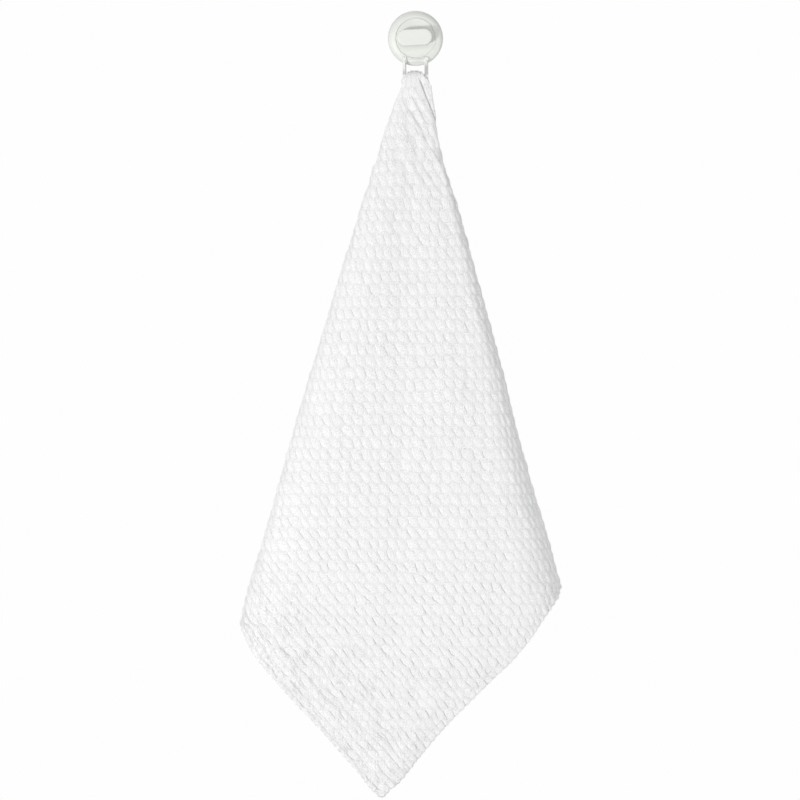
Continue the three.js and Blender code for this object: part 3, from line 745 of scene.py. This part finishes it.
# The middle surface on a square grid that follows the warp and the weft, filled in row by row: each
# row across the hanging cloth is a diagonal of the grid
N = CHECKS * CUTS
CORNER_IN = 0.01                  # the two end rows are read just inside the corners
step = SIDE / N
middle = np.zeros((N + 1, N + 1, 3))
flat_u = np.zeros((N + 1, N + 1))
flat_a = np.zeros((N + 1, N + 1))
for k in range(2 * N + 1):
    p = np.arange(max(0, k - N), min(N, k) + 1)
    q = k - p
    a = k * step / math.sqrt(2)
    u = (p - q) * step / math.sqrt(2)
    flat_u[p, q] = u
    flat_a[p, q] = a
    for sign in (-1, 1):
        chosen = u * sign >= 0
        flat_distance, row = half_row(min(max(a, CORNER_IN), LENGTH - CORNER_IN), sign)
        for axis in range(3):
            middle[p[chosen], q[chosen], axis] = np.interp(
                np.abs(u[chosen]), flat_distance, row[:, axis])


def smooth_noise(x, y, size, seed, lean=(0, 2 * math.pi)):
    """Soft random waves over the cloth, about `size` millimetres long, in a range of directions."""
    random = np.random.default_rng(seed)
    total = np.zeros_like(x)
    for _ in range(9):
        turn = random.uniform(*lean)
        wave = random.uniform(0.7, 1.5) * 2 * math.pi / size
        total += np.sin((x * math.cos(turn) + y * math.sin(turn)) * wave + random.uniform(0, 7))
    return total / 4.0


# The waffle's own form: plump slanting ovals in level rows, no two quite alike
PUFF_WIDE, PUFF_TALL = 0.45, 0.47     # half sizes of a puff, as shares of the pitch
PUFF_SQUARE = 2.3                 # 2 would be an ellipse
SCALLOP = 1.1                     # how far the hem draws in between its ribs
DICE = 200                        # puffs that differ before the random draws come round again
from_left_hem = (LENGTH - flat_a + flat_u) / math.sqrt(2)

# The lower left part is dragged towards the hem, and its puffs lean more to the left at their tops
dragging = ease(500, 620, flat_a) * (1 - ease(50, 130, from_left_hem))
dragging += 0.5 * ease(620, 760, flat_a) * (1 - dragging)
lean = 0.5 + 0.16 * ease(430, 660, flat_a) + 0.22 * dragging
wander_u = (flat_u / PITCH + 0.12 * smooth_noise(flat_u, flat_a, 78, 3)
            + 0.09 * smooth_noise(flat_u, flat_a, 36, 4))
wander_a = (flat_a / PITCH + 0.08 * smooth_noise(flat_u, flat_a, 85, 5)
            + 0.07 * smooth_noise(flat_u, flat_a, 38, 6))
in_row = wander_a - np.round(wander_a)
in_puff = wander_u - lean * in_row
puff_i = np.round(in_puff).astype(int)
puff_j = np.round(wander_a).astype(int)
in_puff = in_puff - puff_i
oval = np.abs(in_puff / PUFF_WIDE) ** PUFF_SQUARE + np.abs(in_row / PUFF_TALL) ** PUFF_SQUARE
dome = np.clip(1 - oval, 0, 1) ** 0.7
pits = (np.cos(2 * math.pi * in_puff) + np.cos(2 * math.pi * wander_a)) / 2
dice = np.random.default_rng(11)
plumpness = dice.uniform(0.45, 1.3, (DICE, DICE))[puff_i % DICE, puff_j % DICE]
slit_depth = dice.uniform(0, 1.15, (DICE, DICE)).clip(0.2, 1)[puff_i % DICE, puff_j % DICE]
edge_distance = np.minimum(flat_a - np.abs(flat_u), LENGTH - flat_a - np.abs(flat_u)) / math.sqrt(2)
in_hem = 1 - ease(HEM_WIDTH - 1.5, HEM_WIDTH + 1.5, edge_distance)
at_top = 1 - ease(40, 110, flat_a)
strength = (1 - 0.2 * in_hem) * (1 - 0.7 * at_top)
relief = (0.95 * dome * plumpness + 0.30 * pits - 0.40) * strength
stitch_groove = bell(edge_distance - STITCH_INSET, 1.5)
hem_wave = np.cos(2 * math.pi * (wander_u - np.sign(flat_u) * wander_a))
relief += 0.6 * hem_wave * in_hem - 0.9 * stitch_groove
thickness = CLOTH + (HEM_THICK - CLOTH) * in_hem - 0.5 * stitch_groove

# Shallow drags and wrinkles slant down from the hook, most of them in the upper left part
drags = smooth_noise(flat_u, flat_a, 30, 22, (-0.75, -0.25))
rise = 0.4 * smooth_noise(flat_u, flat_a, 90, 21) * ease(50, 160, flat_a)
rise += drags * (0.35 + 0.35 * (1 - ease(120, 260, flat_a))) * ease(36, 60, flat_a)
wrinkles = np.maximum(smooth_noise(flat_u, flat_a, 15, 31, (-0.72, -0.38)), -0.2)
rise += 1.1 * wrinkles * ease(38, 55, flat_a) * (1 - ease(90, 230, flat_a)) * ease(-22, -6, flat_u)

# Between its ribs the hem draws in a little, and then the cloth gets its thickness and relief
along_p = np.gradient(middle, axis=0)
along_q = np.gradient(middle, axis=1)
grid_p, grid_q = np.meshgrid(np.arange(N + 1) * step, np.arange(N + 1) * step, indexing="ij")
for inwards, distance in ((along_p, grid_p), (-along_p, N * step - grid_p),
                          (along_q, grid_q), (-along_q, N * step - grid_q)):
    pull = SCALLOP * (0.5 - 0.5 * hem_wave) * bell(distance, 4.5)
    middle = middle + inwards / step * pull[..., None]
normal = np.cross(along_q, along_p)
normal /= np.maximum(np.linalg.norm(normal, axis=2, keepdims=True), 1e-9)
outer = middle + normal * (thickness / 2 + relief + rise)[..., None]
inner = middle + normal * (-thickness / 2 + relief + rise)[..., None]

# One closed mesh: the outer face on every grid line, the inner face on every second one, and a rim
HALF = N // 2
outer_index = np.arange((N + 1) ** 2).reshape(N + 1, N + 1)
inner_index = (N + 1) ** 2 + np.arange((HALF + 1) ** 2).reshape(HALF + 1, HALF + 1)
places = np.concatenate((outer.reshape(-1, 3), inner[::2, ::2].reshape(-1, 3))) * MM
quads = np.stack((outer_index[:-1, :-1], outer_index[:-1, 1:], outer_index[1:, 1:],
                  outer_index[1:, :-1]), -1).reshape(-1, 4)
back_quads = np.stack((inner_index[:-1, :-1], inner_index[1:, :-1], inner_index[1:, 1:],
                       inner_index[:-1, 1:]), -1).reshape(-1, 4)
cloth_faces = quads.tolist() + back_quads.tolist()
for outer_edge, inner_edge in (
        (outer_index[:, 0], inner_index[:, 0]),
        (outer_index[-1, :], inner_index[-1, :]),
        (outer_index[::-1, -1], inner_index[::-1, -1]),
        (outer_index[0, ::-1], inner_index[0, ::-1])):
    for i in range(HALF):
        first, mid, last = outer_edge[2 * i:2 * i + 3].tolist()
        near, far = inner_edge[i:i + 2].tolist()
        cloth_faces += [[first, mid, near], [mid, far, near], [mid, last, far]]

mesh = bpy.data.meshes.new("waffle_towel")
mesh.from_pydata(places.tolist(), [], cloth_faces)

# The weave's own map counts puffs across and rows down, and the marks tell the material where it is
weave = mesh.uv_layers.new(name="weave")
counted = np.stack((wander_u, wander_a), -1)
grid_uv = np.concatenate((counted.reshape(-1, 2), counted[::2, ::2].reshape(-1, 2)))
corners = np.zeros(len(mesh.loops), int)
mesh.loops.foreach_get("vertex_index", corners)
weave.data.foreach_set("uv", grid_uv[corners].ravel())
marks = {
    "hem": in_hem,
    "drag": dragging,
    "grain": 1 - 0.45 * at_top,
    "lean": lean,
    "slit": slit_depth * (1 - 0.8 * at_top) * (0.85 + 0.45 * ease(500, 700, flat_a)),
    "plump": plumpness}
for name, values in marks.items():
    layer = mesh.attributes.new(name, "FLOAT", "POINT")
    layer.data.foreach_set("value", np.concatenate((values.ravel(), values[::2, ::2].ravel())))
mesh.polygons.foreach_set("use_smooth", [True] * len(mesh.polygons))
mesh.update()
towel = link(bpy.data.objects.new("waffle_towel", mesh))

YARNS = 10                        # yarns across one puff, each way along the bias
SHADE_WIDE, SHADE_TALL = 0.40, 0.43   # half sizes of the part of a puff that stays light
SCORE_RUN = (0.65, 0.76)          # the scored lines run down to the right, along the left hem
WHITE_LOW, WHITE_HIGH = (0.925, 0.925, 0.93, 1), (0.965, 0.965, 0.97, 1)
IN_PITS = (0.62, 0.62, 0.625, 1)  # the cloth's tones where little light comes in
IN_SLITS = (0.46, 0.46, 0.465, 1)
IN_SEAMS = (0.42, 0.42, 0.425, 1)
IN_FOLDS = (0.34, 0.34, 0.345, 1)
cloth_white, shade, shader = start_material(
    "waffle_cotton", 0.92, {"Sheen Weight": 0.5, "Sheen Roughness": 0.5, "Specular IOR Level": 0.2})
weave_map = shade.make("ShaderNodeUVMap", {"uv_map": "weave"})
split = {"Vector": weave_map}
across_u = weave_map.make("ShaderNodeSeparateXYZ", inputs=split)
down_a = weave_map.make("ShaderNodeSeparateXYZ", inputs=split, output=1)
on_hem, on_slit, on_puff, on_drag, on_grain, on_lean = (
    shade.make("ShaderNodeAttribute", {"attribute_name": name}, output=2)
    for name in ("hem", "slit", "plump", "drag", "grain", "lean"))

# How far a point is from its puff's middle, the dark web between puffs, and the slit that opens at
# the lower left of many of them
from_row = down_a.wrapped()
from_puff = (across_u - on_lean * from_row).wrapped()
ragged = weave_map.noise(2.4, 2.0, 9.0) - 0.5
torn_puff = from_puff + 0.20 * ragged
outline = (abs(torn_puff * (1 / SHADE_WIDE)) ** PUFF_SQUARE
           + abs(from_row * (1 / SHADE_TALL)) ** PUFF_SQUARE)
web = outline.band(0.4, 1.8)
rim = 1 - abs(outline - 1.0).band(0.04, 0.42)
lower_left = (0.2 * from_row - torn_puff).band(0.10, 0.42)
swing = weave_map.noise(1.1, 1.0, 15.0) - 0.5
slit_line = 1 - abs(torn_puff + SHADE_WIDE - 1.6 * swing * from_row).band(0.01, 0.07)
slit_line = slit_line * (from_row + 1.2 * ragged).band(-0.42, -0.20)
slit_line = slit_line * (1 - (from_row - ragged).band(0.38, 0.5))
slit = (0.6 * rim * lower_left + 0.9 * slit_line) * on_slit

# Lines where the cloth is dragged, and the scored ones beside the left hem
dragged = weave_map.make("ShaderNodeMapping", inputs={
    "Vector": weave_map, "Rotation": (0, 0, 0.58), "Scale": (1.9, 0.24, 1.0)}).noise(1.0, 3.0, 8.0)
drag_line = (1 - abs(dragged - 0.5).band(0.0, 0.05)) * (1 - 0.7 * rim) * (1 + 1.6 * on_drag)
scored = shade.make("ShaderNodeCombineXYZ", inputs={
    0: 2.1 * (SCORE_RUN[1] * across_u - SCORE_RUN[0] * down_a),
    1: 0.22 * (SCORE_RUN[0] * across_u + SCORE_RUN[1] * down_a)})
score_line = (1 - abs(scored.noise(1.0, 1.0, 31.0) - 0.5).band(0.0, 0.026)) * on_drag
score_line = score_line * weave_map.noise(0.6, 1.0, 33.0).band(0.38, 0.52)

# Yarns, fuzz and lint give the fine grain, and painted shade darkens what lies deep
warp = ((down_a + across_u) * (2 * math.pi * YARNS)).cosine()
weft = ((down_a - across_u) * (2 * math.pi * YARNS)).cosine()
fuzz = weave_map.noise(9.0, 4.0, 2.0)
lint = weave_map.noise(6.5, 2.0, 12.0)
patch = weave_map.noise(0.9, 3.0, 5.0)
pressed = 1 - 0.5 * on_hem
height = 0.4 * warp + 0.3 * weft + 20.0 * fuzz + 10.0 * lint - 0.9 * drag_line
height = height - (1.2 * web + 2.4 * slit) * pressed
tone = patch.between(WHITE_LOW, WHITE_HIGH)
# Painted shade in the web between puffs and along the dragged and scored lines, mixed with the grain's own
# flecks
shaded = 0.18 * web + 0.05 * (1.2 - on_puff) + 0.10 * drag_line + 0.45 * score_line
shaded = shaded + (2.0 * (0.575 - fuzz) + 1.0 * (0.575 - lint)) * on_grain
tone = shaded.between(tone, IN_PITS)
# Painted shade in the slits at the lower left of the puffs
tone = (0.6 * slit).between(tone, IN_SLITS)
seam = (1 - abs(on_hem - 0.55).band(0.12, 0.42)) * weave_map.noise(2.6, 2.0, 21.0).band(0.46, 0.62)
tone = (0.32 * seam).between(tone, IN_SEAMS)

# The folds below the hook close on themselves, and painted shade draws their bottoms as dark lines on the
# front
place = {"Vector": shade.place()}
right, deep, high = (
    (1 / MM) * shade.make("ShaderNodeSeparateXYZ", inputs=place, output=i) for i in range(3))


def fold_line(x0, z0, slope, first, last, wide):
    """A line down a fold, from its start, its slant, the heights that it covers and its half width."""
    off = right - (slope * (z0 - high) + x0)
    along = (0 - high).band(first, first + 9) * (1 - (0 - high).band(last - 14, last))
    return (1 - abs(off).band(0.1, wide)) * along


pinched = fold_line(CREASE_X + 0.8, CREASE_Z, CREASE_SLOPE, 50, 150, 1.3)
for x0, z0, slope, first, last, fold_depth in SMALL_FOLDS:
    pinched = pinched + 0.3 * fold_depth * fold_line(x0, z0, slope, first, last, 1.1)
pinched = pinched * (1 - deep.band(-43.5, -41.5))
# Painted shade along the bottoms of the folds
tone = (0.75 * pinched).between(tone, IN_FOLDS)
drive(shader, "Base Color", tone)
drive(shader, "Normal", height.bump(0.4, 0.0005))
towel.data.materials.append(cloth_white)
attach(towel, "root")
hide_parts("bath_towel")


# Hem stitches: one line of white sewing thread round the four sides of the towel, about ten
# millimetres in from the edge. Each stitch is a short plump loop that lies on the cloth.
STITCH_PITCH = 3.3
STITCH_HALF = 1.35                # half the length of one stitch
THREAD_RADIUS = 0.42
THREAD_LIFT = 0.12                # how far a stitch's middle stands above the cloth
LOOK_AHEAD = 0.6                  # to find which way the cloth runs under a stitch


def on_cloth(p, q):
    """Places on the towel's outer face, at grid coordinates p and q."""
    i = np.clip(np.floor(p).astype(int), 0, N - 1)
    j = np.clip(np.floor(q).astype(int), 0, N - 1)
    s = (p - i)[:, None]
    t = (q - j)[:, None]
    return (outer[i, j] * (1 - s) * (1 - t) + outer[i + 1, j] * s * (1 - t)
            + outer[i, j + 1] * (1 - s) * t + outer[i + 1, j + 1] * s * t)


stitch_places = []
stitch_runs = []
stitch_lifts = []
inset = STITCH_INSET / step
count = int((SIDE - 2 * STITCH_INSET) / STITCH_PITCH)
along = np.linspace(inset, N - inset, count)
reach = LOOK_AHEAD / step
for level, run_is_p in ((inset, True), (N - inset, True), (inset, False), (N - inset, False)):
    fixed = np.full(count, level)
    if run_is_p:
        here = on_cloth(along, fixed)
        ahead = on_cloth(along + reach, fixed)
        aside = on_cloth(along, fixed + reach)
    else:
        here = on_cloth(fixed, along)
        ahead = on_cloth(fixed, along + reach)
        aside = on_cloth(fixed + reach, along)
    run = ahead - here
    lift = np.cross(run, aside - here) * (-1 if run_is_p else 1)
    run /= np.linalg.norm(run, axis=1, keepdims=True)
    lift /= np.linalg.norm(lift, axis=1, keepdims=True)
    stitch_places.append(here + lift * THREAD_LIFT)
    stitch_runs.append(run)
    stitch_lifts.append(lift)

seeds = bpy.data.meshes.new("stitch_seeds")
seeds.from_pydata((np.concatenate(stitch_places) * MM).tolist(), [], [])
for name, values in (("run", stitch_runs), ("lift", stitch_lifts)):
    layer = seeds.attributes.new(name, "FLOAT_VECTOR", "POINT")
    layer.data.foreach_set("vector", np.concatenate(values).ravel())
stitching = link(bpy.data.objects.new("hem_stitches", seeds))

thread, shade, shader = start_material("sewing_thread", 0.7, {"Sheen Weight": 0.3})
twist = shade.place().noise(2600.0, 2.0)
drive(shader, "Base Color", twist.between((0.84, 0.84, 0.83, 1), (0.94, 0.94, 0.93, 1)))
drive(shader, "Normal", twist.bump(0.4, 0.0002))


def stitch_tree(length, radius, material):
    """Geometry Nodes that lay one stitch on each seed, and the sockets of their sizes."""
    tree = bpy.data.node_groups.new("stitches", "GeometryNodeTree")
    tree.interface.new_socket("Geometry", in_out="INPUT", socket_type="NodeSocketGeometry")
    size = {}
    for name, value in (("Stitch length", length), ("Thread radius", radius)):
        socket = tree.interface.new_socket(name, in_out="INPUT", socket_type="NodeSocketFloat")
        size[name] = (socket.identifier, value)
    tree.interface.new_socket("Geometry", in_out="OUTPUT", socket_type="NodeSocketGeometry")

    def add(kind, settings=(), inputs=()):
        node = tree.nodes.new(kind)
        for key, value in dict(settings).items():
            setattr(node, key, value)
        for key, value in dict(inputs).items():
            if isinstance(value, bpy.types.NodeSocket):
                tree.links.new(value, node.inputs[key])
            else:
                node.inputs[key].default_value = value
        return node

    source = add("NodeGroupInput")
    ball = add("GeometryNodeMeshIcoSphere", inputs={"Radius": 1.0, "Subdivisions": 2})
    scale = add("ShaderNodeCombineXYZ", inputs={
        "X": source.outputs["Stitch length"], "Y": source.outputs["Thread radius"],
        "Z": source.outputs["Thread radius"]})
    pill = add("GeometryNodeTransform", inputs={"Geometry": ball.outputs["Mesh"], "Scale": scale.outputs[0]})
    run = add("GeometryNodeInputNamedAttribute", {"data_type": "FLOAT_VECTOR"}, {"Name": "run"})
    lift = add("GeometryNodeInputNamedAttribute", {"data_type": "FLOAT_VECTOR"}, {"Name": "lift"})
    first = add("FunctionNodeAlignEulerToVector", {"axis": "X"}, {"Vector": run.outputs[0]})
    second = add("FunctionNodeAlignEulerToVector", {"axis": "Z", "pivot_axis": "X"},
                 {"Rotation": first.outputs[0], "Vector": lift.outputs[0]})
    laid = add("GeometryNodeInstanceOnPoints", inputs={
        "Points": source.outputs["Geometry"], "Instance": pill.outputs["Geometry"],
        "Rotation": second.outputs[0]})
    real = add("GeometryNodeRealizeInstances", inputs={"Geometry": laid.outputs[0]})
    painted = add("GeometryNodeSetMaterial", inputs={"Geometry": real.outputs[0], "Material": material})
    end = add("NodeGroupOutput")
    tree.links.new(painted.outputs[0], end.inputs[0])
    return tree, size


tree, sizes = stitch_tree(STITCH_HALF * MM, THREAD_RADIUS * MM, thread)
modifier = stitching.modifiers.new("stitches", "NODES")
modifier.node_group = tree
for identifier, value in sizes.values():
    modifier[identifier] = value
settle(stitching)
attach(stitching, "root")
